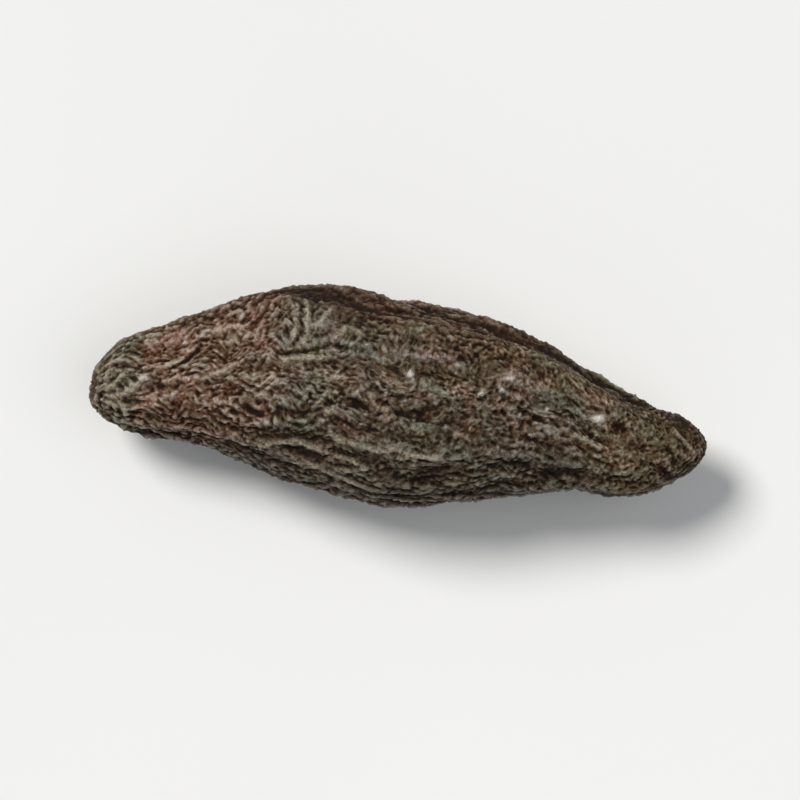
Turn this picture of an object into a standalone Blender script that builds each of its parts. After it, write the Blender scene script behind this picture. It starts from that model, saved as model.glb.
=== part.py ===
"""One dried chebulic myrobalan, a whole fruit lying on its flattened side.

Metres, +Z up. The fruit's long axis runs along X: the stalk end, with its
round scar, points to -X and the blunt tip to +X. The origin is under the
middle of the fruit, on the surface that it rests on.

The fruit grew and dried as one piece, so it is one closed solid. Its outline
is a row of cross-sections along the long axis. Each section is a slightly
flattened oval, and the shrunken flesh shows as broad ribs, long furrows and a
few dents pressed into it.
"""

import math

import bmesh
import bpy
import numpy as np

MM = 0.001

# ---------------------------------------------------------------- dimensions
LENGTH = 28.0          # mm, stalk scar to tip
REST_CUT = 0.48        # mm, how much of the belly the flat rest spot takes off
OVAL_POWER = 2.15      # 2 is an ellipse, more is squarer
RINGS = 74             # cross-sections along the fruit
SIDES = 46             # points around each section

# Each row: share of the length from the stalk end, half width in mm divided by
# the half width of a round-ended capsule there, sideways shift of the middle in mm.
OUTLINE = (
    (0.00, 4.85, 0.02),
    (0.05, 4.66, 0.40),
    (0.11, 4.09, 0.60),
    (0.18, 4.06, 0.88),
    (0.26, 4.45, 1.12),
    (0.35, 4.76, 1.06),
    (0.42, 4.86, 0.86),
    (0.50, 4.79, 0.64),
    (0.58, 4.60, 0.56),
    (0.66, 4.31, 0.52),
    (0.74, 3.94, 0.30),
    (0.81, 3.63, -0.10),
    (0.86, 3.60, -0.42),
    (0.91, 3.55, -0.54),
    (0.96, 3.50, -0.44),
    (1.00, 3.50, -0.28),
)

# Side view: share of the length, height of the middle in mm, height over width.
PROFILE = (
    (0.00, 3.35, 0.94),
    (0.12, 3.46, 0.92),
    (0.28, 3.80, 0.88),
    (0.45, 3.98, 0.860),
    (0.62, 4.00, 0.86),
    (0.80, 3.80, 0.90),
    (0.92, 3.58, 0.92),
    (1.00, 3.48, 0.94),
)

# Long furrows: angle at mid length in degrees (0 is +Y, 90 the top), drift in
# degrees along the length, bow in degrees, start and end as a share of the
# length, depth in mm, half width in mm.
FURROWS = (
    (97.0, 5.0, -7.0, 0.26, 0.80, 0.14, 0.62),
    (70.0, -4.0, 6.0, 0.24, 0.76, 0.24, 0.42),
    (33.0, -10.0, 4.0, 0.36, 0.93, 0.30, 0.55),
    (171.0, 8.0, -5.0, 0.12, 0.72, 0.34, 0.50),
    (208.0, -9.0, 6.0, 0.34, 0.95, 0.42, 0.60),
    (243.0, 10.0, 5.0, 0.10, 0.62, 0.36, 0.55),
    (290.0, -8.0, -6.0, 0.30, 0.90, 0.34, 0.55),
    (327.0, 9.0, 4.0, 0.08, 0.66, 0.40, 0.55),
    (2.0, 6.0, -6.0, 0.10, 0.60, 0.30, 0.45),
)

# Broad ribs: how many around, height in mm, angle in degrees, twist in degrees
# along the length.
RIBS = (
    (3, 0.10, 40.0, 20.0),
    (5, 0.13, 118.0, 24.0),
    (7, 0.07, 15.0, -35.0),
)

# Dents: share of the length, angle in degrees, depth in mm, reach along and
# around in mm.
DENTS = (
    (0.275, 108.0, 0.34, 0.95, 0.55),
    (0.79, 100.0, 0.22, 1.10, 0.80),
    (0.79, 186.0, 0.20, 1.20, 1.30),
    (0.60, 20.0, 0.20, 2.40, 1.10),
    (0.20, 200.0, 0.22, 1.60, 1.20),
    (0.88, 40.0, 0.22, 1.30, 1.00),
)

# Stalk scar: tilt towards the top in degrees, radius and depth in mm.
SCAR_TILT, SCAR_RADIUS, SCAR_DEPTH = 24.0, 0.62, 0.26


def smooth_table(x, xs, ys):
    """Smooth curve through a table, with no overshoot between its rows."""
    xs, ys = np.asarray(xs, float), np.asarray(ys, float)
    h, d = np.diff(xs), np.diff(ys) / np.diff(xs)
    m = np.zeros(len(xs))
    same = d[:-1] * d[1:] > 0
    w1, w2 = 2 * h[1:] + h[:-1], h[1:] + 2 * h[:-1]
    inner = np.zeros(len(d) - 1)
    inner[same] = (w1 + w2)[same] / (w1[same] / d[:-1][same] + w2[same] / d[1:][same])
    m[1:-1], m[0], m[-1] = inner, d[0], d[-1]
    i = np.clip(np.searchsorted(xs, x) - 1, 0, len(h) - 1)
    u = (x - xs[i]) / h[i]
    return (
        ys[i] * (1 + 2 * u) * (1 - u) ** 2
        + h[i] * m[i] * u * (1 - u) ** 2
        + ys[i + 1] * u * u * (3 - 2 * u)
        + h[i] * m[i + 1] * u * u * (u - 1)
    )


def step(lo, hi, x):
    u = np.clip((x - lo) / (hi - lo), 0.0, 1.0)
    return u * u * (3 - 2 * u)


def turn(a, b):
    """Signed angle from b to a, in radians, from -pi to pi."""
    return (a - b + math.pi) % (2 * math.pi) - math.pi


def section(share):
    """Half width, half height, and the middle's Y and Z in mm, at a share of the length."""
    table = np.array(OUTLINE)
    side = np.array(PROFILE)
    capsule = 2 * np.sqrt(np.clip(share * (1 - share), 0, None))
    half_width = capsule * smooth_table(share, table[:, 0], table[:, 1])
    return (
        half_width,
        half_width * smooth_table(share, side[:, 0], side[:, 2]),
        smooth_table(share, table[:, 0], table[:, 2]),
        smooth_table(share, side[:, 0], side[:, 1]),
    )


def relief(share, angle, half_width):
    """Height in mm of the ribs, furrows and dents, above or below the plain oval."""
    ends = step(0.0, 0.16, share) * step(0.0, 0.13, 1 - share)
    high = np.zeros_like(share * angle)
    for count, tall, at, twist in RIBS:
        high += tall * ends * np.cos(
            count * (angle - np.radians(at + twist * (share - 0.5)))
        )
    for at, drift, bow, start, end, deep, wide in FURROWS:
        middle = np.radians(
            at + drift * (share - 0.5) + bow * (4 * (share - 0.5) ** 2 - 0.5)
        )
        across = turn(angle, middle) * half_width / wide
        along = step(start, start + 0.12, share) * (1 - step(end - 0.14, end, share))
        high -= deep * along * np.exp(-np.abs(across) ** 1.5)
    for at, round_at, deep, reach, around in DENTS:
        far = ((share - at) * LENGTH / reach) ** 2 + (
            turn(angle, math.radians(round_at)) * half_width / around
        ) ** 2
        high -= deep * np.exp(-far)
    return high


def surface(share, angle):
    """Points in mm at shares of the length and angles around, before they are centred."""
    half_width, half_height, y, z = section(share)
    c, s = np.cos(angle), np.sin(angle)
    flat = half_width / np.maximum(half_height, 1e-9)
    oval = (np.abs(c) ** OVAL_POWER + np.abs(s * flat) ** OVAL_POWER) ** (
        -1 / OVAL_POWER
    )
    radius = np.maximum(
        half_width * oval + relief(share, angle, half_width), 0.3 * half_width
    )
    x = LENGTH * (share - 0.5) + 0 * angle
    return np.stack([x, y + radius * c, z + radius * s], axis=-1)


def stalk_scar(points):
    """Presses the round scar of the stalk into the -X end."""
    tilt = math.radians(SCAR_TILT)
    _, half_height, y, z = section(np.array([0.012]))
    centre = np.array([-LENGTH / 2 + 0.16, y[0], z[0] + half_height[0] * math.sin(tilt)])
    inward = np.array([math.cos(tilt), 0.0, -math.sin(tilt)])
    far = np.linalg.norm(points - centre, axis=-1) / SCAR_RADIUS
    return points + (SCAR_DEPTH * np.exp(-(far**4)))[..., None] * inward


def even_shares(count):
    """Shares of the length that set the sections evenly along the fruit's skin."""
    fine = (1 - np.cos(np.linspace(0, math.pi, 2001))) / 2
    half_width = section(fine)[0]
    gone = np.concatenate(
        [[0], np.cumsum(np.hypot(np.diff(fine) * LENGTH, np.diff(half_width)))]
    )
    return np.interp(np.linspace(0, gone[-1], count + 1)[1:-1], gone, fine)


def fruit_points():
    """Rings of points, and the two end points, in mm."""
    shares = even_shares(RINGS)
    angles = np.arange(SIDES) * 2 * math.pi / SIDES
    rings = stalk_scar(surface(shares[:, None], angles[None, :]))
    ends = []
    for share in (0.0, 1.0):
        _, _, y, z = section(np.array([share]))
        ends.append([LENGTH * (share - 0.5), y[0], z[0]])
    return rings, stalk_scar(np.array(ends))


def main():
    for obj in list(bpy.data.objects):
        bpy.data.objects.remove(obj, do_unlink=True)

    rings, ends = fruit_points()
    # The rest spot is the plane z = 0, and the middle of the fruit stands over the origin.
    floor = min(rings[..., 2].min(), ends[:, 2].min()) + REST_CUT
    low = np.minimum(rings.reshape(-1, 3).min(0), ends.min(0))
    high = np.maximum(rings.reshape(-1, 3).max(0), ends.max(0))
    centre = (low + high) / 2
    shift = np.array([-centre[0], -centre[1], -floor])

    shape = bmesh.new()
    loops = []
    for ring in rings:
        made = [shape.verts.new((p + shift) * MM) for p in ring]
        loops.append(
            [shape.edges.new((made[i], made[(i + 1) % SIDES])) for i in range(SIDES)]
        )
    for before, after in zip(loops, loops[1:]):
        bmesh.ops.bridge_loops(shape, edges=before + after)
    for loop, end in ((loops[0], ends[0]), (loops[-1], ends[1])):
        tip = shape.verts.new((end + shift) * MM)
        for edge in loop:
            shape.faces.new((edge.verts[0], edge.verts[1], tip))

    # The small flat spot that the fruit rests on.
    everything = shape.verts[:] + shape.edges[:] + shape.faces[:]
    cut = bmesh.ops.bisect_plane(
        shape,
        geom=everything,
        dist=1e-7,
        plane_co=(0, 0, 0),
        plane_no=(0, 0, -1),
        clear_outer=True,
    )
    rim = [e for e in cut["geom_cut"] if isinstance(e, bmesh.types.BMEdge)]
    bmesh.ops.holes_fill(shape, edges=rim, sides=0)
    bmesh.ops.recalc_face_normals(shape, faces=shape.faces[:])

    mesh = bpy.data.meshes.new("myrobalan_fruit")
    shape.to_mesh(mesh)
    shape.free()
    mesh.shade_smooth()
    mesh.set_sharp_from_angle(angle=math.radians(50))

    skin = bpy.data.materials.new("dried_skin")
    skin.use_nodes = True
    look = skin.node_tree.nodes["Principled BSDF"]
    look.inputs["Base Color"].default_value = (0.082, 0.062, 0.043, 1.0)
    look.inputs["Roughness"].default_value = 0.62
    look.inputs["Metallic"].default_value = 0.0
    mesh.materials.append(skin)

    fruit = bpy.data.objects.new("myrobalan_fruit", mesh)
    bpy.context.scene.collection.objects.link(fruit)


main()
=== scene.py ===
"""The looks of one dried chebulic myrobalan, lying on its flattened side.

The shrunken skin is modelled as real relief. Bands of noise are filtered in
millimetres over the skin until they fall into ridges and pinched valleys:
lengthwise ones over most of the fruit, crinkles across it on the upper
shoulder, and a knobbly net along the top. The same relief drives the colour:
the crests are lightened with painted sheen, and the valleys are darkened
nearly to black, partly the skin's own tone and partly painted shade.
"""

import math

import bpy
import numpy as np
from mathutils import Matrix, Vector


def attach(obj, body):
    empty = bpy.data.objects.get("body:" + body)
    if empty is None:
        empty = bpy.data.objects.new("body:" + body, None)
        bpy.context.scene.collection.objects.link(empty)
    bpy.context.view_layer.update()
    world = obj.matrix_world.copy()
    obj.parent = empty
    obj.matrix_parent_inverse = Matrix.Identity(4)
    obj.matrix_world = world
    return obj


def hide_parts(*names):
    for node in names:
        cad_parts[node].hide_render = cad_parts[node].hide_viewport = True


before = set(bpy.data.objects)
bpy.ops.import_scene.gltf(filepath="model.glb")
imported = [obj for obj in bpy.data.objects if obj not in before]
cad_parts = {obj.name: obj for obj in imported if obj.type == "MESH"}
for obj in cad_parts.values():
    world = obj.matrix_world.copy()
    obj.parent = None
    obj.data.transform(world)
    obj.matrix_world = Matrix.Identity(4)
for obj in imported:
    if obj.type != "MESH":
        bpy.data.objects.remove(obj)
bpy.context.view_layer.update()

MM = 0.001

# ------------------------------------------------------------ the plain fruit
# The same outline as the solid's, in mm.
LENGTH = 28.0
REST_CUT = 0.48
OVAL_POWER = 2.15
OUTLINE = (
    (0.00, 4.85, 0.02),
    (0.05, 4.66, 0.40),
    (0.11, 4.09, 0.60),
    (0.18, 4.06, 0.88),
    (0.26, 4.45, 1.12),
    (0.35, 4.76, 1.06),
    (0.42, 4.86, 0.86),
    (0.50, 4.79, 0.64),
    (0.58, 4.60, 0.56),
    (0.66, 4.31, 0.52),
    (0.74, 3.94, 0.30),
    (0.81, 3.63, -0.10),
    (0.86, 3.60, -0.42),
    (0.91, 3.55, -0.54),
    (0.96, 3.50, -0.44),
    (1.00, 3.50, -0.28),
)
PROFILE = (
    (0.00, 3.35, 0.94),
    (0.12, 3.46, 0.92),
    (0.28, 3.80, 0.88),
    (0.45, 3.98, 0.860),
    (0.62, 4.00, 0.86),
    (0.80, 3.80, 0.90),
    (0.92, 3.58, 0.92),
    (1.00, 3.48, 0.94),
)
FURROWS = (
    (97.0, 5.0, -7.0, 0.26, 0.80, 0.14, 0.62),
    (70.0, -4.0, 6.0, 0.24, 0.76, 0.24, 0.42),
    (33.0, -10.0, 4.0, 0.36, 0.93, 0.30, 0.55),
    (171.0, 8.0, -5.0, 0.12, 0.72, 0.34, 0.50),
    (208.0, -9.0, 6.0, 0.34, 0.95, 0.42, 0.60),
    (243.0, 10.0, 5.0, 0.10, 0.62, 0.36, 0.55),
    (290.0, -8.0, -6.0, 0.30, 0.90, 0.34, 0.55),
    (327.0, 9.0, 4.0, 0.08, 0.66, 0.40, 0.55),
    (2.0, 6.0, -6.0, 0.10, 0.60, 0.30, 0.45),
)
RIBS = (
    (3, 0.10, 40.0, 20.0),
    (5, 0.13, 118.0, 24.0),
    (7, 0.07, 15.0, -35.0),
)
DENTS = (
    (0.275, 108.0, 0.34, 0.95, 0.55),
    (0.79, 100.0, 0.22, 1.10, 0.80),
    (0.79, 186.0, 0.20, 1.20, 1.30),
    (0.60, 20.0, 0.20, 2.40, 1.10),
    (0.20, 200.0, 0.22, 1.60, 1.20),
    (0.88, 40.0, 0.22, 1.30, 1.00),
)
SCAR_TILT, SCAR_RADIUS, SCAR_DEPTH = 24.0, 0.62, 0.26


def smooth_table(x, xs, ys):
    """Smooth curve through a table, with no overshoot between its rows."""
    xs, ys = np.asarray(xs, float), np.asarray(ys, float)
    h, d = np.diff(xs), np.diff(ys) / np.diff(xs)
    m = np.zeros(len(xs))
    same = d[:-1] * d[1:] > 0
    w1, w2 = 2 * h[1:] + h[:-1], h[1:] + 2 * h[:-1]
    inner = np.zeros(len(d) - 1)
    inner[same] = (w1 + w2)[same] / (w1[same] / d[:-1][same] + w2[same] / d[1:][same])
    m[1:-1], m[0], m[-1] = inner, d[0], d[-1]
    i = np.clip(np.searchsorted(xs, x) - 1, 0, len(h) - 1)
    u = (x - xs[i]) / h[i]
    return (
        ys[i] * (1 + 2 * u) * (1 - u) ** 2
        + h[i] * m[i] * u * (1 - u) ** 2
        + ys[i + 1] * u * u * (3 - 2 * u)
        + h[i] * m[i + 1] * u * u * (u - 1)
    )


def step(lo, hi, x):
    u = np.clip((x - lo) / (hi - lo), 0.0, 1.0)
    return u * u * (3 - 2 * u)


def band(x, lo, hi, soft):
    """1 between lo and hi, falling to 0 over soft on either side."""
    return step(lo - soft, lo + soft, x) * (1 - step(hi - soft, hi + soft, x))


def turn(a, b):
    return (a - b + math.pi) % (2 * math.pi) - math.pi


def section(share):
    table, side = np.array(OUTLINE), np.array(PROFILE)
    capsule = 2 * np.sqrt(np.clip(share * (1 - share), 0, None))
    half_width = capsule * smooth_table(share, table[:, 0], table[:, 1])
    return (
        half_width,
        half_width * smooth_table(share, side[:, 0], side[:, 2]),
        smooth_table(share, table[:, 0], table[:, 2]),
        smooth_table(share, side[:, 0], side[:, 1]),
    )


def relief(share, angle, half_width):
    ends = step(0.0, 0.16, share) * step(0.0, 0.13, 1 - share)
    high = np.zeros_like(share * angle)
    for count, tall, at, twist in RIBS:
        high += tall * ends * np.cos(
            count * (angle - np.radians(at + twist * (share - 0.5)))
        )
    for at, drift, bow, start, end, deep, wide in FURROWS:
        middle = np.radians(
            at + drift * (share - 0.5) + bow * (4 * (share - 0.5) ** 2 - 0.5)
        )
        across = turn(angle, middle) * half_width / wide
        along = step(start, start + 0.12, share) * (1 - step(end - 0.14, end, share))
        high -= deep * along * np.exp(-np.abs(across) ** 1.5)
    for at, round_at, deep, reach, around in DENTS:
        far = ((share - at) * LENGTH / reach) ** 2 + (
            turn(angle, math.radians(round_at)) * half_width / around
        ) ** 2
        high -= deep * np.exp(-far)
    return high


def surface(share, angle):
    half_width, half_height, y, z = section(share)
    c, s = np.cos(angle), np.sin(angle)
    flat = half_width / np.maximum(half_height, 1e-9)
    oval = (np.abs(c) ** OVAL_POWER + np.abs(s * flat) ** OVAL_POWER) ** (
        -1 / OVAL_POWER
    )
    radius = np.maximum(
        half_width * oval + relief(share, angle, half_width), 0.3 * half_width
    )
    x = LENGTH * (share - 0.5) + 0 * angle
    return np.stack([x, y + radius * c, z + radius * s], axis=-1)


def scar_place():
    tilt = math.radians(SCAR_TILT)
    _, half_height, y, z = section(np.array([0.012]))
    centre = np.array([-LENGTH / 2 + 0.16, y[0], z[0] + half_height[0] * math.sin(tilt)])
    return centre, np.array([math.cos(tilt), 0.0, -math.sin(tilt)])


def stalk_scar(points):
    centre, inward = scar_place()
    far = np.linalg.norm(points - centre, axis=-1) / SCAR_RADIUS
    return points + (SCAR_DEPTH * np.exp(-(far**4)))[..., None] * inward


# ------------------------------------------------------- fields over the skin
class Skin:
    """Rows evenly along the skin and columns around it, filtered in mm.

    A row is a closed loop, so filtering around it is a product in its Fourier
    terms. A path along it runs over the fruit's end and comes back on the
    opposite side, so the rows are laid out there and back as one long loop,
    where the odd terms change sign on the way back.
    """

    def __init__(self, rows, columns):
        fine = (1 - np.cos(np.linspace(0, math.pi, 4001))) / 2
        half_width = section(fine)[0]
        gone = np.concatenate(
            [[0], np.cumsum(np.hypot(np.diff(fine) * LENGTH, np.diff(half_width)))]
        )
        self.rows, self.columns, self.span = rows, columns, gone[-1]
        self.s = (np.arange(rows) + 0.5) * self.span / rows
        self.share = np.interp(self.s, gone, fine)
        a, b = section(self.share)[:2]
        self.r = (a + b) / 2
        self.angle = np.arange(columns) * 2 * math.pi / columns
        self.terms = np.arange(columns // 2 + 1)
        self.sign = (-1.0) ** self.terms
        self.waves = 2 * math.pi * np.fft.fftfreq(2 * rows, self.span / rows)

    def blurred_terms(self, terms, along, around):
        """The terms of a field blurred that many mm, still as waves along it."""
        count = min(len(self.terms), int(4.2 * self.r.max() / around) + 3)
        kept = terms[:, :count] * np.exp(
            -0.5 * (self.terms[None, :count] * around / self.r[:, None]) ** 2
        )
        loop = np.concatenate([kept, kept[::-1] * self.sign[None, :count]])
        return np.fft.fft(loop, axis=0) * np.exp(-0.5 * (self.waves * along) ** 2)[:, None]

    def field_of(self, waves):
        return np.fft.irfft(np.fft.ifft(waves, axis=0)[: self.rows], n=self.columns, axis=1)

    def blur(self, field, along, around=None):
        return self.field_of(
            self.blurred_terms(
                np.fft.rfft(field, axis=1), along, along if around is None else around
            )
        )

    def difference(self, field, along_1, along_2, around_1, around_2):
        """A finer blur less a coarser one: what is left has one size."""
        terms = np.fft.rfft(field, axis=1)
        fine = self.blurred_terms(terms, along_1, around_1)
        coarse = self.blurred_terms(terms, along_2, around_2)
        fine[:, : coarse.shape[1]] -= coarse
        return self.field_of(fine)

    def noise(self, seed):
        grains = np.random.default_rng(seed).standard_normal((self.rows, self.columns))
        return grains / np.sqrt(self.r / self.r.max())[:, None]

    def unit(self, field):
        """The field with mean 0 and deviation 1 over the skin."""
        weight = np.broadcast_to(self.r[:, None], field.shape)
        field = field - (field * weight).sum() / weight.sum()
        return field / np.sqrt((weight * field**2).sum() / weight.sum())

    def soft_noise(self, seed, along, around=None):
        return self.unit(self.blur(self.noise(seed), along, around))

    def sized_noise(self, seed, along_1, along_2, around_1, around_2):
        return self.unit(
            self.difference(self.noise(seed), along_1, along_2, around_1, around_2)
        )

    def ridges(self, seed, kinds, rounds, gain):
        """Interlocking ridges from -1, a valley, to 1, a crest.

        Each round sharpens what has the right width in the noise, so that the
        ridges join, fork and end as those of shrunken skin do. kinds holds a
        mask and four widths in mm for each direction that the ridges run in.
        """
        field = self.noise(seed)
        for _ in range(rounds):
            total = 0
            for mask, *widths in kinds:
                found = self.difference(field, *widths)
                strong = np.sqrt(np.maximum(self.blur(found * found, 1.5), 1e-12))
                total = total + mask * found / strong
            field = np.tanh(gain * total)
        return field

    def moved(self, field, along, around):
        """The field looked up that many mm further along and around."""
        row = np.arange(self.rows)[:, None] + along / self.span * self.rows
        reach = np.maximum(self.r[:, None], 0.4) * 2 * math.pi
        column = np.arange(self.columns)[None, :] + around / reach * self.columns
        row = np.clip(row, 0, self.rows - 1.001)
        r0, c0 = row.astype(int), np.floor(column)
        u, v = row - r0, column - c0
        c0 = c0.astype(int) % self.columns
        c1 = (c0 + 1) % self.columns
        return (
            field[r0, c0] * (1 - u) * (1 - v)
            + field[r0 + 1, c0] * u * (1 - v)
            + field[r0, c1] * (1 - u) * v
            + field[r0 + 1, c1] * u * v
        )


ROWS, COLUMNS = 640, 640
skin = Skin(ROWS, COLUMNS)
share = skin.share[:, None] + 0 * skin.angle[None, :]
degrees = np.degrees(skin.angle)[None, :] + 0 * share
plain = stalk_scar(surface(skin.share[:, None], skin.angle[None, :]))


def outward(points):
    """Unit normals of the grid, joined over both ends."""
    half = COLUMNS // 2
    before = np.concatenate([np.roll(points[:1], half, axis=1), points[:-1]])
    after = np.concatenate([points[1:], np.roll(points[-1:], half, axis=1)])
    across = np.roll(points, -1, axis=1) - np.roll(points, 1, axis=1)
    normal = np.cross(across, after - before)
    normal /= np.linalg.norm(normal, axis=-1, keepdims=True) + 1e-12
    middle = points.mean(axis=1, keepdims=True)
    return normal * np.sign(((points - middle) * normal).sum())


# ---------------------------------------------------------------- the regions
wave_a, wave_b = skin.soft_noise(7, 0.8), skin.soft_noise(8, 0.8)
at = share + 0.020 * wave_a
round_at = degrees + 8.0 * wave_b

crosswise = 0.80 * band(at, 0.27, 0.44, 0.06) * band(round_at, 22, 72, 14)
netted = 0.80 * band(at, 0.30, 0.84, 0.07) * band(round_at, 50, 116, 18) * (1 - crosswise)
grainy = np.clip(
    step(0.76, 0.9, at) + band(at, 0.56, 0.95, 0.1) * band(round_at, 20, 80, 15), 0, 1
)
netted = np.clip(netted + 0.85 * grainy * (1 - crosswise), 0, 1)
shoulder = band(at, 0.06, 0.29, 0.035) * band(round_at, 8, 158, 16)
lengthwise = 1 - crosswise - netted

# --------------------------------------------------------------- the wrinkles
wrinkles = skin.ridges(
    11,
    (
        (lengthwise, 0.100, 0.150, 0.078, 0.135),
        (crosswise, 0.082, 0.140, 0.13, 0.18),
        (netted, 0.090, 0.150, 0.082, 0.140),
    ),
    rounds=2,
    gain=1.0,
)
broad = skin.ridges(
    13,
    (
        (lengthwise + 0.5 * netted, 0.24, 0.30, 0.135, 0.235),
        (crosswise, 0.14, 0.24, 0.20, 0.27),
        (0.5 * netted, 0.17, 0.27, 0.16, 0.26),
    ),
    rounds=1,
    gain=1.1,
)
crinkles = skin.ridges(
    12,
    (
        (lengthwise, 0.085, 0.130, 0.054, 0.092),
        (crosswise, 0.052, 0.090, 0.066, 0.105),
        (netted, 0.060, 0.100, 0.055, 0.094),
    ),
    rounds=2,
    gain=0.8,
)
long = skin.ridges(
    14,
    (
        (lengthwise, 0.62, 0.80, 0.20, 0.38),
        (0.5 * netted, 0.35, 0.55, 0.20, 0.38),
    ),
    rounds=2,
    gain=1.2,
)
# The ridges sway, least along the side of the upper face.
steady = 1 - 0.6 * band(round_at, 112, 190, 14) * band(at, 0.22, 0.80, 0.06)
sway_a = steady * skin.soft_noise(31, 0.8, 0.8)
sway_b = steady * skin.soft_noise(32, 0.45, 0.9)
wrinkles = skin.moved(wrinkles, 0.16 * sway_a, 0.24 * sway_b)
broad = skin.moved(broad, 0.30 * sway_b, 0.22 * sway_a + 0.16 * sway_b)
long = skin.moved(long, 0.40 * sway_b, 0.34 * skin.soft_noise(35, 1.6, 0.9) + 0.10 * sway_b)
sway_c, sway_d = skin.soft_noise(33, 0.35, 0.35), skin.soft_noise(34, 0.25, 0.45)
crinkles = skin.moved(crinkles, 0.08 * sway_c + 0.1 * sway_a, 0.10 * sway_d + 0.15 * sway_b)
folds = skin.sized_noise(3, 1.5, 1.6, 0.40, 0.75)
lumps = skin.sized_noise(4, 0.42, 0.60, 0.24, 0.42)
grain = skin.sized_noise(5, 0.050, 0.095, 0.050, 0.095)


def creased(seed, along, around, soft, shift_along, shift_around):
    """Rounded swellings of uneven size, with sharp creases between them."""
    field = skin.sized_noise(seed, along, 1.9 * along, around, 1.9 * around)
    field = skin.moved(field, shift_along, shift_around)
    return np.minimum(np.sqrt(field * field + soft * soft), 2.0) - 0.8


swells = creased(61, 0.42, 0.21, 0.07, 0.30 * sway_b, 0.22 * sway_a + 0.20 * sway_b)
pleats = creased(62, 0.135, 0.100, 0.10, 0.16 * sway_a, 0.20 * sway_b + 0.05 * sway_d)
rills = creased(63, 0.070, 0.050, 0.16, 0.08 * sway_c, 0.10 * sway_d)
threads = -creased(64, 0.13 - 0.05 * netted.mean(), 0.085, 0.20, 0.10 * sway_c, 0.14 * sway_d + 0.1 * sway_b)
strong = np.clip(0.70 + 0.45 * skin.soft_noise(21, 0.8, 0.55), 0.10, 1.7)
strong_broad = np.clip(0.70 + 0.50 * skin.soft_noise(23, 1.1, 0.8), 0.05, 1.8)
strong_fine = np.clip(0.80 + 0.45 * skin.soft_noise(22, 0.55, 0.45), 0.12, 1.8)
ends = step(0.0, 0.07, share) * step(0.0, 0.06, 1 - share)
calm = (0.4 + 0.6 * ends) * (1 - 0.45 * grainy) * (1 - 0.20 * shoulder)


# Boldest on the flanks and the belly, faint on the upper face.
upper_face = band(round_at, 24, 158, 14)
long_share = (lengthwise + 0.3 * netted) * (1 - 0.62 * upper_face) * (1 - 0.3 * shoulder)

# Towards both ends the wrinkles gather: to the tip, and round the scar.
scar_centre, scar_inward = scar_place()
scar_far = np.linalg.norm(plain - scar_centre, axis=-1)
scar_side = np.array([0.0, 1.0, 0.0])
scar_up = np.cross(scar_inward, scar_side)
scar_way = np.arctan2((plain - scar_centre) @ scar_up, (plain - scar_centre) @ scar_side)
tip_way = np.radians(degrees) + 0.30 * skin.moved(sway_a, 0, 0) + 0.9 * (share - 1)
scar_way = scar_way + 0.22 * sway_a + 0.12 * sway_b
tip_ridges = 0.4 * np.cos(8 * tip_way + 0.9 * sway_b) + 0.6 * np.cos(13 * tip_way + 2.0 + 1.2 * sway_a)
scar_ridges = (
    0.45 * np.cos(10 * scar_way + 0.7 * sway_c) + 0.45 * np.cos(17 * scar_way + 1.0 + 1.2 * sway_b)
) * np.clip(0.8 + 0.4 * sway_d, 0.2, 1.4)
gathers = (
    0.45 * tip_ridges * step(0.86, 0.95, share) * step(0.2, 1.6, skin.span - skin.s[:, None] + 0 * share)
    + 0.8 * scar_ridges * step(0.55, 1.1, scar_far) * (1 - step(1.6, 3.4, scar_far))
)


def valleys(field, pinch):
    return -(((1 - field) / 2) ** pinch)


# Keels that run the whole length, side by side, away from the upper face.
keel_way = (
    12 * np.radians(degrees)
    + 1.5 * skin.soft_noise(71, 2.6, 1.3)
    + 0.5 * skin.soft_noise(72, 1.0, 0.7)
    + 1.2 * np.sin(2 * math.pi * share)
)
keel_size = np.clip(0.8 + 0.4 * skin.soft_noise(73, 2.4, 1.4), 0.2, 1.5)
keels = (
    keel_size * (1 - 0.9 * band(round_at, 30, 152, 14))
    * step(0.03, 0.16, share) * step(0.0, 0.10, 1 - share)
    * valleys(np.cos(keel_way), 1.5)
)


high = (
    0.22 * long_share * (0.5 + 0.5 * strong_broad) * ends * valleys(long, 1.2)
    + 0.20 * keels
    + 0.036 * (1 - 0.25 * upper_face) * strong_broad * calm * valleys(broad, 1.5)
    + 0.054 * (1 - 0.6 * crosswise) * (1 - 0.3 * netted) * (1 - 0.2 * upper_face) * calm * swells
    + 0.046 * strong * calm * valleys(wrinkles, 1.8)
    + 0.026 * (1 - 0.6 * crosswise) * calm * pleats
    + 0.062 * strong_fine * (0.6 + 0.4 * calm) * valleys(crinkles, 1.9)
    + 0.016 * rills
    + 0.030 * threads
    + 0.040 * ends * folds
    + 0.020 * ends * lumps
    + (0.007 + 0.005 * grainy) * grain
    + 0.13 * gathers
)

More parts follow.
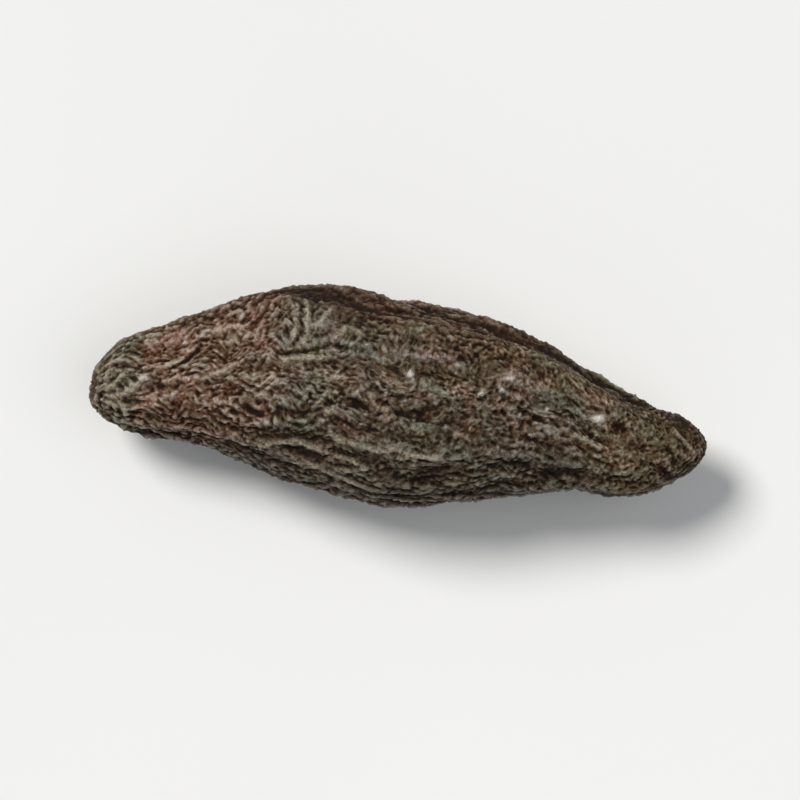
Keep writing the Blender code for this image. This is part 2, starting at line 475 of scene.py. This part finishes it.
# Single ridges and cracks: height in mm, half width in mm, and the places that
# each runs through, as a share of the length and an angle in degrees.
STROKES = (
    (-0.14, 0.13, (0.299, 75.0), (0.350, 71.8), (0.386, 67.8), (0.418, 67.2)),
    (0.06, 0.13, (0.314, 78.2), (0.344, 78.0), (0.379, 75.8)),
    (-0.11, 0.09, (0.327, 42.2), (0.330, 53.5), (0.331, 64.8)),
    (0.09, 0.11, (0.339, 38.0), (0.342, 53.5), (0.342, 67.0)),
    (0.06, 0.10, (0.321, 40.0), (0.319, 53.5), (0.324, 65.0)),
    (0.05, 0.09, (0.293, 37.0), (0.304, 36.5), (0.317, 42.0)),
    (0.06, 0.11, (0.359, 55.0), (0.377, 45.8)),
    (0.045, 0.12, (0.391, 62.5), (0.407, 56.8), (0.430, 58.0)),
    (0.10, 0.15, (0.123, 93.2), (0.140, 91.8), (0.179, 93.5), (0.194, 89.5), (0.220, 88.2), (0.236, 85.5)),
    (0.08, 0.13, (0.206, 53.0), (0.225, 52.0), (0.244, 53.0)),
    (0.07, 0.09, (0.274, 101.2), (0.300, 91.2)),
    (0.07, 0.09, (0.281, 105.8), (0.307, 94.2)),
    (-0.12, 0.10, (0.140, 79.0), (0.175, 63.8)),
    (0.06, 0.12, (0.031, 108.0), (0.062, 78.8)),
    (0.06, 0.12, (0.036, 117.5), (0.075, 104.0), (0.089, 93.0)),
    (0.06, 0.12, (0.037, 127.7), (0.078, 126.3), (0.112, 118.0)),
    (0.05, 0.12, (0.028, 97.2), (0.036, 50.0)),
    (0.05, 0.08, (0.089, 113.5), (0.110, 111.0)),
    (0.07, 0.08, (0.362, 108.5), (0.374, 103.0), (0.387, 98.0), (0.403, 98.5)),
    (0.07, 0.08, (0.381, 109.5), (0.405, 105.2)),
    (0.07, 0.09, (0.426, 93.8), (0.441, 91.0), (0.458, 95.5)),
    (0.08, 0.10, (0.466, 100.2), (0.484, 101.5)),
    (0.09, 0.13, (0.288, 141.8), (0.340, 131.2), (0.396, 134.5), (0.458, 140.5)),
    (0.08, 0.13, (0.313, 151.2), (0.384, 149.0), (0.461, 154.8)),
    (0.08, 0.13, (0.405, 123.2), (0.481, 123.2), (0.571, 124.8)),
    (0.10, 0.11, (0.783, 76.5), (0.803, 83.0), (0.828, 79.5)),
    (0.06, 0.10, (0.946, 65.2), (0.977, 100.5)),
    (-0.06, 0.09, (0.643, 58.0), (0.672, 53.0)),
    (-0.10, 0.10, (0.663, 90.2), (0.678, 99.2)),
    (-0.06, 0.10, (0.486, 104.0), (0.536, 102.8), (0.586, 105.8)),
    (0.11, 0.30, (0.500, 135.0), (0.592, 137.0), (0.662, 138.0), (0.731, 136.0)),
    (-0.10, 0.22, (0.690, 92.0), (0.765, 96.0), (0.840, 96.0)),
)


def stroke(path, wide):
    """How near each point of the skin is to a line, from 1 on it down to 0."""
    near = np.full((ROWS, COLUMNS), 9.0)
    for (share_a, way_a), (share_b, way_b) in zip(path, path[1:]):
        s_a, s_b = np.interp([share_a, share_b], skin.share, skin.s)
        radius = np.interp((share_a + share_b) / 2, skin.share, skin.r)
        rows = slice(*np.searchsorted(skin.s, (min(s_a, s_b) - 1.0, max(s_a, s_b) + 1.0)))
        x = skin.s[rows, None] - s_a + 0.07 * wobble_a[rows]
        y = turn(skin.angle[None, :], math.radians(way_a)) * radius + 0.07 * wobble_b[rows]
        dx, dy = s_b - s_a, math.radians(way_b - way_a) * radius
        along = np.clip((x * dx + y * dy) / (dx * dx + dy * dy), 0, 1)
        near[rows] = np.minimum(near[rows], np.hypot(x - along * dx, y - along * dy))
    return np.exp(-((near / wide) ** 2))


wobble_a, wobble_b = skin.soft_noise(51, 0.30), skin.soft_noise(52, 0.30)
# Narrow raised ridges and crumbs: glossier, and lightened in colour with a painted glint.
gloss_and_painted_glint = np.zeros_like(high)
for tall, wide, *path in STROKES:
    line = stroke(path, wide)
    high += tall * line * (0.85 + 0.25 * wobble_a)
    if tall > 0 and wide < 0.2:
        gloss_and_painted_glint = np.maximum(gloss_and_painted_glint, line)

# Pits and crumbs: share of the length, degrees, depth, reach along, reach around.
PITS = (
    (0.277, 118.0, 0.26, 0.40, 0.28),
    (0.439, 99.0, 0.18, 0.28, 0.24),
    (0.475, 97.0, 0.08, 0.30, 0.16),
    (0.536, 102.0, 0.16, 0.30, 0.18),
    (0.659, 92.5, 0.20, 0.30, 0.22),
    (0.720, 96.0, 0.16, 0.35, 0.22),
    (0.850, 77.0, 0.24, 0.46, 0.36),
    (0.026, 115.0, 0.16, 0.12, 0.12),
    (0.089, 91.0, -0.14, 0.34, 0.30),
    (0.400, 88.0, -0.12, 0.30, 0.20),
    (0.514, 74.0, -0.14, 0.24, 0.22),
    (0.625, 81.0, -0.10, 0.20, 0.16),
    (0.661, 78.0, -0.10, 0.20, 0.16),
    (0.677, 69.0, -0.12, 0.26, 0.22),
    (0.818, 74.0, -0.18, 0.24, 0.20),
)
pit = np.zeros_like(high)
for place, way, deep, reach, wide in PITS:
    gap_along = (share - place) * LENGTH + 0.10 * wobble_b
    gap_around = turn(skin.angle[None, :], math.radians(way)) * skin.r[:, None]
    shape = np.exp(-((gap_along / reach) ** 2) - ((gap_around + 0.1 * wobble_a) / wide) ** 2)
    high -= deep * shape
    if deep > 0:
        pit = np.maximum(pit, shape)
    else:
        gloss_and_painted_glint = np.maximum(gloss_and_painted_glint, shape)

# Small crumbs of the shiniest skin, raised and each given a painted glint: share of the length, degrees,
# height, reach.
CRUMBS = (
    (0.818, 73.5, 0.10, 0.155),
    (0.676, 69.5, 0.055, 0.11),
    (0.626, 81.0, 0.05, 0.10),
    (0.661, 78.5, 0.05, 0.10),
    (0.514, 74.0, 0.055, 0.115),
    (0.478, 93.0, 0.045, 0.10),
    (0.089, 91.0, 0.05, 0.15),
    (0.463, 86.0, 0.035, 0.09),
    (0.560, 93.0, 0.035, 0.09),
    (0.150, 58.0, 0.04, 0.10),
    (0.232, 47.0, 0.035, 0.09),
    (0.735, 84.0, 0.035, 0.09),
    (0.590, 66.0, 0.035, 0.09),
)
painted_crumb_glint = np.zeros_like(high)
for place, way, tall, reach in CRUMBS:
    gap_along = (share - place) * LENGTH + 0.06 * wobble_b + 0.04 * sway_c
    gap_around = turn(skin.angle[None, :], math.radians(way)) * skin.r[:, None]
    gap_around = gap_around + 0.06 * wobble_a + 0.04 * sway_d
    shape = np.exp(-(((gap_along / 1.25) ** 2 + gap_around**2) / reach**2) ** 1.2)
    high += tall * shape
    painted_crumb_glint = np.maximum(painted_crumb_glint, shape * min(1.0, tall / 0.07))

# The scar: a low collar round the pit that the solid has.
collar = np.exp(-(((scar_far - 0.80) / 0.16) ** 2))
cup = np.exp(-((scar_far / 0.62) ** 4))
high = high * (1 - 0.7 * cup) + 0.07 * collar - 0.10 * np.exp(-((scar_far / 0.26) ** 2))

points = plain + outward(plain) * high[..., None]

# -------------------------------------------------- placed as the solid stands
# The solid's own rings, centred in the same way, give the same shift.
floor_z = plain[..., 2].min() + REST_CUT
low, top = plain.reshape(-1, 3).min(0), plain.reshape(-1, 3).max(0)
shift = np.array([-(low[0] + top[0]) / 2, -(low[1] + top[1]) / 2, -floor_z])
points = points + shift
# Where it rests, the ridges are pressed flat.
soft = 0.05
points[..., 2] = 0.5 * (points[..., 2] + np.sqrt(points[..., 2] ** 2 + soft**2)) - 0.5 * soft * 0.02
points[..., 2] -= points[..., 2].min()

# ----------------------------------------------------------- colour variables
# Soft patches of another tone, and of painted light where a patch lifts a hollow that lies in shade: share
# of the length, degrees, reach along and around in mm, how much lighter, how much cooler, how much redder.
TONES = (
    (0.415, 106.0, 2.0, 1.0, -0.085, 0.0, 0.0),
    (0.762, 74.0, 2.0, 1.0, 0.075, 0.0, 0.0),
    # painted light: lifts a hollow low on the side that lies in shade
    (0.744, 116.0, 1.9, 0.8, 0.160, 0.0, 0.0),
    (0.369, 55.0, 1.6, 0.9, 0.120, 0.0, 0.0),
    (0.335, 88.0, 1.7, 0.7, 0.110, 0.0, 0.0),
    (0.892, 96.0, 1.3, 0.8, 0.070, 0.0, 0.0),
    (0.650, 86.0, 1.7, 0.6, 0.060, 0.0, 0.0),
    (0.674, 66.0, 1.7, 0.9, 0.045, 0.9, 0.0),
    (0.492, 62.0, 1.8, 0.8, 0.035, 0.7, 0.0),
    (0.547, 30.0, 2.4, 0.8, 0.030, -0.7, 0.0),
    (0.396, 36.0, 1.3, 0.6, 0.010, -0.7, 0.0),
    (0.535, 121.0, 1.7, 0.7, 0.070, 0.0, 0.0),
    (0.150, 142.0, 1.9, 1.3, 0.010, -0.2, 0.50),
)
lighter, cooler, redder = np.zeros_like(high), np.zeros_like(high), np.zeros_like(high)
for place, way, reach, wide, *change in TONES:
    gap_along = (share - place) * LENGTH + 0.35 * wave_a
    gap_around = turn(skin.angle[None, :], math.radians(way)) * skin.r[:, None] + 0.25 * wave_b
    shape = np.exp(-((gap_along / reach) ** 2) - (gap_around / wide) ** 2)
    for field, amount in zip((lighter, cooler, redder), change):
        field += amount * shape

cavity_fine = skin.unit(high - skin.blur(high, 0.16))
cavity = skin.unit(high - skin.blur(high, 0.40))
cavity_wide = skin.unit(skin.blur(high, 0.12) - skin.blur(high, 1.1))
# Lighter on crests and darker in creases: partly the skin's own darker valleys, partly painted shade in the
# creases and painted sheen on the crests.
crest = np.clip(
    0.5
    + 0.056 * np.tanh(cavity)
    + 0.028 * np.tanh(cavity_wide)
    + 0.215 * cavity_fine
    + 0.035 * band(round_at, 38, 96, 14) * band(at, 0.28, 0.52, 0.06)
    + lighter
    - 0.09 * pit,
    0,
    1,
)

patches = skin.soft_noise(41, 0.8, 0.6)
patches_small = skin.soft_noise(42, 0.25, 0.18)
red = np.clip(
    shoulder * (0.85 + 0.25 * patches)
    + 0.55 * band(at, 0.36, 0.74, 0.06) * band((round_at + 60) % 360, 40, 88, 10)
    + 0.9 * pit
    + 0.28 * netted * np.clip(patches_small, 0, 2)
    + 0.12 * np.clip(patches, 0, 2)
    + redder,
    0,
    1,
)
ochre = np.clip(
    0.75 * grainy
    + 0.5 * np.exp(-(((scar_far - 0.85) / 0.30) ** 2))
    + 0.6 * band(share, 0.30, 0.40, 0.03) * band(degrees, 72, 80, 4)
    + 0.55 * band(at, 0.42, 0.80, 0.05) * band(round_at, 12, 44, 10)
    + 0.20 * np.clip(patches_small + 0.3 * patches, 0, 2),
    0,
    1,
)
scar = np.clip(cup, 0, 1)


# ------------------------------------------------------------------- the mesh
def grid_mesh(name, points, values):
    """A closed mesh from the grid: quads, and a fan of triangles at each end."""
    half = COLUMNS // 2
    ends = []
    for row in (points[0], points[-1]):
        ends.append(row.mean(axis=0))
    verts = np.concatenate([points.reshape(-1, 3), ends]) * MM
    i = np.arange(ROWS - 1)[:, None] * COLUMNS
    j = np.arange(COLUMNS)[None, :]
    k = (j + 1) % COLUMNS
    quads = np.stack([i + j, i + COLUMNS + j, i + COLUMNS + k, i + k], -1).reshape(-1, 4)
    first, last = ROWS * COLUMNS, ROWS * COLUMNS + 1
    j, k = j[0], k[0]
    fan_a = np.stack([np.full(COLUMNS, first), j, k], -1)
    base = (ROWS - 1) * COLUMNS
    fan_b = np.stack([np.full(COLUMNS, last), base + k, base + j], -1)
    loops = np.concatenate([quads.ravel(), fan_a.ravel(), fan_b.ravel()])
    sizes = np.concatenate([np.full(len(quads), 4), np.full(2 * COLUMNS, 3)])
    starts = np.concatenate([[0], np.cumsum(sizes)[:-1]])

    mesh = bpy.data.meshes.new(name)
    mesh.vertices.add(len(verts))
    mesh.vertices.foreach_set("co", verts.astype(np.float32).ravel())
    mesh.loops.add(len(loops))
    mesh.loops.foreach_set("vertex_index", loops.astype(np.int32))
    mesh.polygons.add(len(sizes))
    mesh.polygons.foreach_set("loop_start", starts.astype(np.int32))
    mesh.polygons.foreach_set("loop_total", sizes.astype(np.int32))
    mesh.update(calc_edges=True)

    # One chart: along the fruit across it, around the fruit up it.
    u = 0.008 + 0.984 * (np.arange(ROWS) + 0.5) / ROWS
    v = 0.008 + 0.984 * np.arange(COLUMNS + 1) / COLUMNS
    jn = np.arange(COLUMNS)
    cell_u = np.stack([u[:-1], u[1:], u[1:], u[:-1]], -1)[:, None, :]
    cell_v = np.stack([v[jn], v[jn], v[jn + 1], v[jn + 1]], -1)[None, :, :]
    quad_uv = np.stack(np.broadcast_arrays(cell_u, cell_v), -1).reshape(-1, 2)
    mid = (v[jn] + v[jn + 1]) / 2
    fan_uv_a = np.stack(
        [np.stack([np.full(COLUMNS, 0.008), u[0] + 0 * mid, u[0] + 0 * mid], -1),
         np.stack([mid, v[jn], v[jn + 1]], -1)], -1).reshape(-1, 2)
    fan_uv_b = np.stack(
        [np.stack([np.full(COLUMNS, 0.992), u[-1] + 0 * mid, u[-1] + 0 * mid], -1),
         np.stack([mid, v[jn + 1], v[jn]], -1)], -1).reshape(-1, 2)
    layer = mesh.uv_layers.new(name="OFBake")
    uv = np.concatenate([quad_uv, fan_uv_a, fan_uv_b]).astype(np.float32)
    layer.data.foreach_set("uv", uv.ravel())

    for key, value in values.items():
        whole = np.concatenate([value.ravel(), [value[0].mean(), value[-1].mean()]])
        mesh.attributes.new(key, "FLOAT", "POINT").data.foreach_set(
            "value", whole.astype(np.float32)
        )
    return mesh


nub = (1 - step(0.03, 0.105, share + 0.022 * patches + 0.014 * patches_small)) * 0.75
hue = np.clip(0.5 + 0.34 * skin.soft_noise(43, 0.34, 0.26) + 0.16 * patches, 0, 1)
# Painted shade: darker along the upper rim and low on the side, where less light falls; the same field also
# darkens the tip and a strip below the shoulder.
painted_shade = 0.72 * (1 - step(20, 52, round_at)) * step(0.16, 0.3, at) * step(-30, 5, round_at)
painted_shade = painted_shade + 0.10 * band(round_at, 122, 178, 14) + 0.22 * band(round_at, 146, 192, 12)
painted_shade = painted_shade + 0.16 * step(0.88, 0.95, at) + 0.16 * band(round_at, 104, 150, 14) * band(at, 0.08, 0.28, 0.03)
values = {
    "hue": hue, "painted_shade": painted_shade, "cool": np.clip(0.5 + 0.5 * cooler, 0, 1),
    "crest": crest, "red": red, "ochre": ochre, "scar": scar,
    "shoulder": shoulder, "gloss_and_painted_glint": gloss_and_painted_glint, "nub": nub, "painted_crumb_glint": painted_crumb_glint,
}
mesh = grid_mesh("dense_skin", points, values)
fruit = bpy.data.objects.new("myrobalan_skin", mesh)
bpy.context.scene.collection.objects.link(fruit)

TRIANGLES = 192000
triangles = 2 * (ROWS - 1) * COLUMNS + 2 * COLUMNS
thin = fruit.modifiers.new("thin", "DECIMATE")
thin.ratio = TRIANGLES / triangles
thin.use_collapse_triangulate = True
graph = bpy.context.evaluated_depsgraph_get()
lighter = bpy.data.meshes.new_from_object(
    fruit.evaluated_get(graph), preserve_all_data_layers=True, depsgraph=graph
)
fruit.modifiers.clear()
fruit.data = lighter
bpy.data.meshes.remove(mesh)
lighter.name = "myrobalan_skin"
lighter.shade_smooth()
print("skin triangles", len(lighter.polygons), [u.name for u in lighter.uv_layers])


# -------------------------------------------------------------- the materials
class Nodes:
    """Short ways to build a node tree."""

    def __init__(self, name):
        self.material = bpy.data.materials.new(name)
        self.material.use_nodes = True
        self.tree = self.material.node_tree
        self.shader = self.tree.nodes["Principled BSDF"]

    def node(self, kind, **settings):
        made = self.tree.nodes.new(kind)
        for key, value in settings.items():
            setattr(made, key, value)
        return made

    def link(self, source, target):
        self.tree.links.new(source, target)

    def put(self, socket, value):
        if hasattr(value, "is_output"):
            self.link(value, socket)
        else:
            socket.default_value = value

    def attribute(self, name):
        return self.node("ShaderNodeAttribute", attribute_name=name).outputs["Fac"]

    def math(self, operation, a, b=0.0, c=0.0, clamp=False):
        made = self.node("ShaderNodeMath", operation=operation, use_clamp=clamp)
        for socket, value in zip(made.inputs, (a, b, c)):
            self.put(socket, value)
        return made.outputs[0]

    def mix(self, factor, a, b, blend="MIX"):
        made = self.node("ShaderNodeMix", data_type="RGBA", blend_type=blend)
        self.put(made.inputs[0], factor)
        self.put(made.inputs[6], a)
        self.put(made.inputs[7], b)
        return made.outputs[2]

    def ramp(self, factor, stops, smooth="LINEAR"):
        made = self.node("ShaderNodeValToRGB")
        ramp = made.color_ramp
        ramp.interpolation = smooth
        while len(ramp.elements) < len(stops):
            ramp.elements.new(0.5)
        for element, (place, colour) in zip(ramp.elements, stops):
            element.position = place
            element.color = (*colour, 1.0)
        self.put(made.inputs[0], factor)
        return made.outputs[0]

    def position(self):
        """Object coordinates in mm."""
        coordinates = self.node("ShaderNodeTexCoord").outputs["Object"]
        made = self.node("ShaderNodeMapping")
        made.inputs["Scale"].default_value = (1000.0, 1000.0, 1000.0)
        self.link(coordinates, made.inputs[0])
        return made.outputs[0]

    def noise(self, where, scale, detail=2.0, rough=0.5, warp=0.0):
        made = self.node("ShaderNodeTexNoise")
        self.link(where, made.inputs["Vector"])
        made.inputs["Scale"].default_value = scale
        made.inputs["Detail"].default_value = detail
        made.inputs["Roughness"].default_value = rough
        made.inputs["Distortion"].default_value = warp
        return made.outputs["Fac"]

    def range(self, value, a, b, c, d):
        made = self.node("ShaderNodeMapRange")
        for socket, number in zip(made.inputs, (value, a, b, c, d)):
            self.put(socket, number)
        return made.outputs[0]


def srgb(r, g, b):
    """Linear colour from display values of 0 to 255."""
    return tuple(
        (c / 255 / 12.92) if c / 255 <= 0.04045 else ((c / 255 + 0.055) / 1.055) ** 2.4
        for c in (r, g, b)
    )


def rgba(colour):
    return (*colour, 1.0)


def skin_material():
    n = Nodes("dried_skin")
    where = n.position()
    crest, red = n.attribute("crest"), n.attribute("red")
    ochre, scar = n.attribute("ochre"), n.attribute("scar")
    shoulder, gloss_and_painted_glint, nub = n.attribute("shoulder"), n.attribute("gloss_and_painted_glint"), n.attribute("nub")
    mottle = n.noise(where, 1.1, 3.0, 0.6)
    speck = n.noise(where, 6.5, 2.0, 0.6)
    dust = n.noise(where, 2.6, 3.0, 0.65, 0.4)

    # how light: valley to crest, broken up by specks; the valleys partly painted shade, the crests partly
    # painted sheen, and the rims darkened with painted shade
    light = n.math("ADD", crest, n.range(speck, 0.3, 0.7, -0.13, 0.13))
    light = n.math("SUBTRACT", light, n.math("MULTIPLY", n.attribute("painted_shade"), 0.30))
    light = n.math("ADD", light, n.range(mottle, 0.3, 0.7, -0.05, 0.05), clamp=True)

    olive = n.ramp(light, (
        (0.06, srgb(10, 6, 3)),
        (0.22, srgb(25, 16, 9)),
        (0.38, srgb(53, 41, 24)),
        (0.60, srgb(83, 73, 58)),
        (0.96, srgb(129, 126, 115)),
    ))
    rust = n.ramp(light, (
        (0.06, srgb(22, 9, 2)),
        (0.22, srgb(50, 26, 10)),
        (0.38, srgb(84, 53, 30)),
        (0.60, srgb(121, 94, 78)),
        (0.96, srgb(175, 161, 149)),
    ))
    tan = n.ramp(light, (
        (0.06, srgb(14, 7, 2)),
        (0.22, srgb(35, 21, 6)),
        (0.38, srgb(66, 46, 17)),
        (0.60, srgb(96, 79, 50)),
        (0.96, srgb(139, 130, 106)),
    ))
    colour = n.mix(n.math("MULTIPLY", ochre, n.range(mottle, 0.3, 0.7, 0.4, 1.0)), olive, tan)
    colour = n.mix(n.math("MULTIPLY", red, n.range(dust, 0.3, 0.7, 0.65, 1.0)), colour, rust)
    sage = n.ramp(light, (
        (0.14, srgb(22, 13, 4)),
        (0.40, srgb(70, 57, 37)),
        (0.62, srgb(106, 97, 80)),
        (0.90, srgb(145, 139, 123)),
    ))
    colour = n.mix(nub, colour, sage)
    tint = n.mix(n.attribute("hue"), rgba((1.06, 0.965, 0.985)), rgba((0.93, 1.03, 0.985)))
    colour = n.mix(1.0, colour, tint, "MULTIPLY")
    tint = n.mix(n.attribute("cool"), rgba((1.03, 0.985, 0.86)), rgba((0.965, 1.0, 1.14)))
    colour = n.mix(1.0, colour, tint, "MULTIPLY")
    # painted glint: narrow ridges and crumbs lightened towards a pale grey
    pale = n.math("MULTIPLY", gloss_and_painted_glint, n.range(speck, 0.35, 0.65, 0.15, 0.75))
    colour = n.mix(pale, colour, n.mix(red, rgba(srgb(164, 156, 136)), rgba(srgb(178, 144, 124))))
    # painted glint on the shiniest crumbs, near white, strongest where the skin is lighter
    painted_glint_amount = n.math("MULTIPLY", n.attribute("painted_crumb_glint"), n.range(light, 0.25, 0.60, 0.15, 1.0))
    colour = n.mix(painted_glint_amount, colour, rgba(srgb(214, 210, 202)))
    colour = n.mix(n.math("MULTIPLY", scar, 0.8), colour, rgba(srgb(46, 28, 15)))
    # painted shade along the rims, low side, tip and shoulder strip: mixed towards a near-black brown
    colour = n.mix(n.math("MULTIPLY", n.attribute("painted_shade"), 0.40), colour, rgba((0.030, 0.012, 0.004)))
    n.link(colour, n.shader.inputs["Base Color"])

    rough = n.range(crest, 0.38, 0.84, 0.97, 0.27)
    rough = n.math("ADD", rough, n.range(dust, 0.3, 0.7, -0.07, 0.07))
    rough = n.math("SUBTRACT", rough, n.math("MULTIPLY", shoulder, 0.06))
    rough = n.math("SUBTRACT", rough, n.math("MULTIPLY", gloss_and_painted_glint, 0.08))
    n.link(rough, n.shader.inputs["Roughness"])
    n.shader.inputs["Specular IOR Level"].default_value = 0.25

    fine_bump = n.node("ShaderNodeBump")
    fine_bump.inputs["Strength"].default_value = 0.8
    fine_bump.inputs["Distance"].default_value = 0.00016
    grit = n.math("ADD", n.noise(where, 5.5, 2.0, 0.55, 0.8), n.math("MULTIPLY", n.noise(where, 2.8, 1.0, 0.5, 0.8), 1.0))
    n.link(grit, fine_bump.inputs["Height"])
    n.link(fine_bump.outputs[0], n.shader.inputs["Normal"])
    return n.material


lighter.materials.clear()
lighter.materials.append(skin_material())
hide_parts("myrobalan_fruit")
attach(fruit, "root")

# ------------------------------------------------------------------- the floor
floor_mesh = bpy.data.meshes.new("floor")
size = 1.5
floor_mesh.from_pydata(
    [(-size, -size, 0), (size, -size, 0), (size, size, 0), (-size, size, 0)], [], [(0, 1, 2, 3)]
)
floor = bpy.data.objects.new("floor", floor_mesh)
floor.location.z = -0.00001
bpy.context.scene.collection.objects.link(floor)
f = Nodes("pale_floor")
f.shader.inputs["Roughness"].default_value = 0.75
f.shader.inputs["Specular IOR Level"].default_value = 0.2
cloud = f.noise(f.position(), 0.02, 2.0, 0.5)
f.link(f.ramp(cloud, ((0.3, (0.80, 0.80, 0.79)), (0.7, (0.83, 0.83, 0.82)))), f.shader.inputs["Base Color"])
floor_mesh.materials.append(f.material)


# ------------------------------------------------------------------ the lights
def aimed(obj, place, target=(0, 0, 0.004), roll=0.0):
    place, target = Vector(place), Vector(target)
    obj.location = place
    obj.rotation_euler = (
        (target - place).to_track_quat("-Z", "Y") @ Matrix.Rotation(roll, 3, "Z").to_quaternion()
    ).to_euler()


def softbox(name, place, wide, strength, colour):
    """A far soft light from that side, as many degrees wide."""
    lamp = bpy.data.lights.new(name, "SUN")
    lamp.angle, lamp.energy, lamp.color = math.radians(wide), strength, colour
    obj = bpy.data.objects.new(name, lamp)
    bpy.context.scene.collection.objects.link(obj)
    aimed(obj, place)
    return obj


softbox("key", (-0.25, 0.18, 0.40), 22.0, 2.8, (1.0, 0.985, 0.955))
softbox("fill", (0.26, -0.06, 0.42), 56.0, 0.60, (0.97, 0.975, 1.0))

# Pale near the horizon, as a studio's walls are, and dimmer overhead.
world = bpy.data.worlds.new("studio")
world.use_nodes = True
nodes, links = world.node_tree.nodes, world.node_tree.links
facing = nodes.new("ShaderNodeTexCoord")
parts = nodes.new("ShaderNodeSeparateXYZ")
fade = nodes.new("ShaderNodeValToRGB")
fade.color_ramp.interpolation = "EASE"
fade.color_ramp.elements[0].position, fade.color_ramp.elements[0].color = 0.04, (0.84, 0.85, 0.86, 1)
fade.color_ramp.elements[1].position, fade.color_ramp.elements[1].color = 0.34, (0.205, 0.212, 0.22, 1)
links.new(facing.outputs["Generated"], parts.inputs[0])
links.new(parts.outputs[2], fade.inputs[0])
links.new(fade.outputs[0], nodes["Background"].inputs["Color"])
nodes["Background"].inputs["Strength"].default_value = 1.0
bpy.context.scene.world = world

# ------------------------------------------------------------------ the camera
ELEVATION, ROLL, REACH, LENS = 87.0, 5.0, 0.200, 200.0
lens = bpy.data.cameras.new("camera")
lens.lens, lens.sensor_width = LENS, 36.0
lens.clip_start, lens.clip_end = 0.005, 20.0
camera = bpy.data.objects.new("camera", lens)
bpy.context.scene.collection.objects.link(camera)
up = math.radians(ELEVATION)
aim = Vector((0.0, 0.0, 0.004))
camera.location = aim + Vector((0, -math.cos(up), math.sin(up))) * REACH
away = (aim - camera.location).normalized()
right = away.cross(Vector((0, 1, 0))).normalized()
above = right.cross(away)
basis = Matrix((right, above, -away)).transposed()
camera.rotation_euler = (basis @ Matrix.Rotation(math.radians(ROLL), 3, "Z")).to_euler()
bpy.context.scene.camera = camera

bpy.context.scene.view_settings.view_transform = "Standard"
bpy.context.scene.view_settings.look = "None"
bpy.context.scene.view_settings.exposure = 0.0
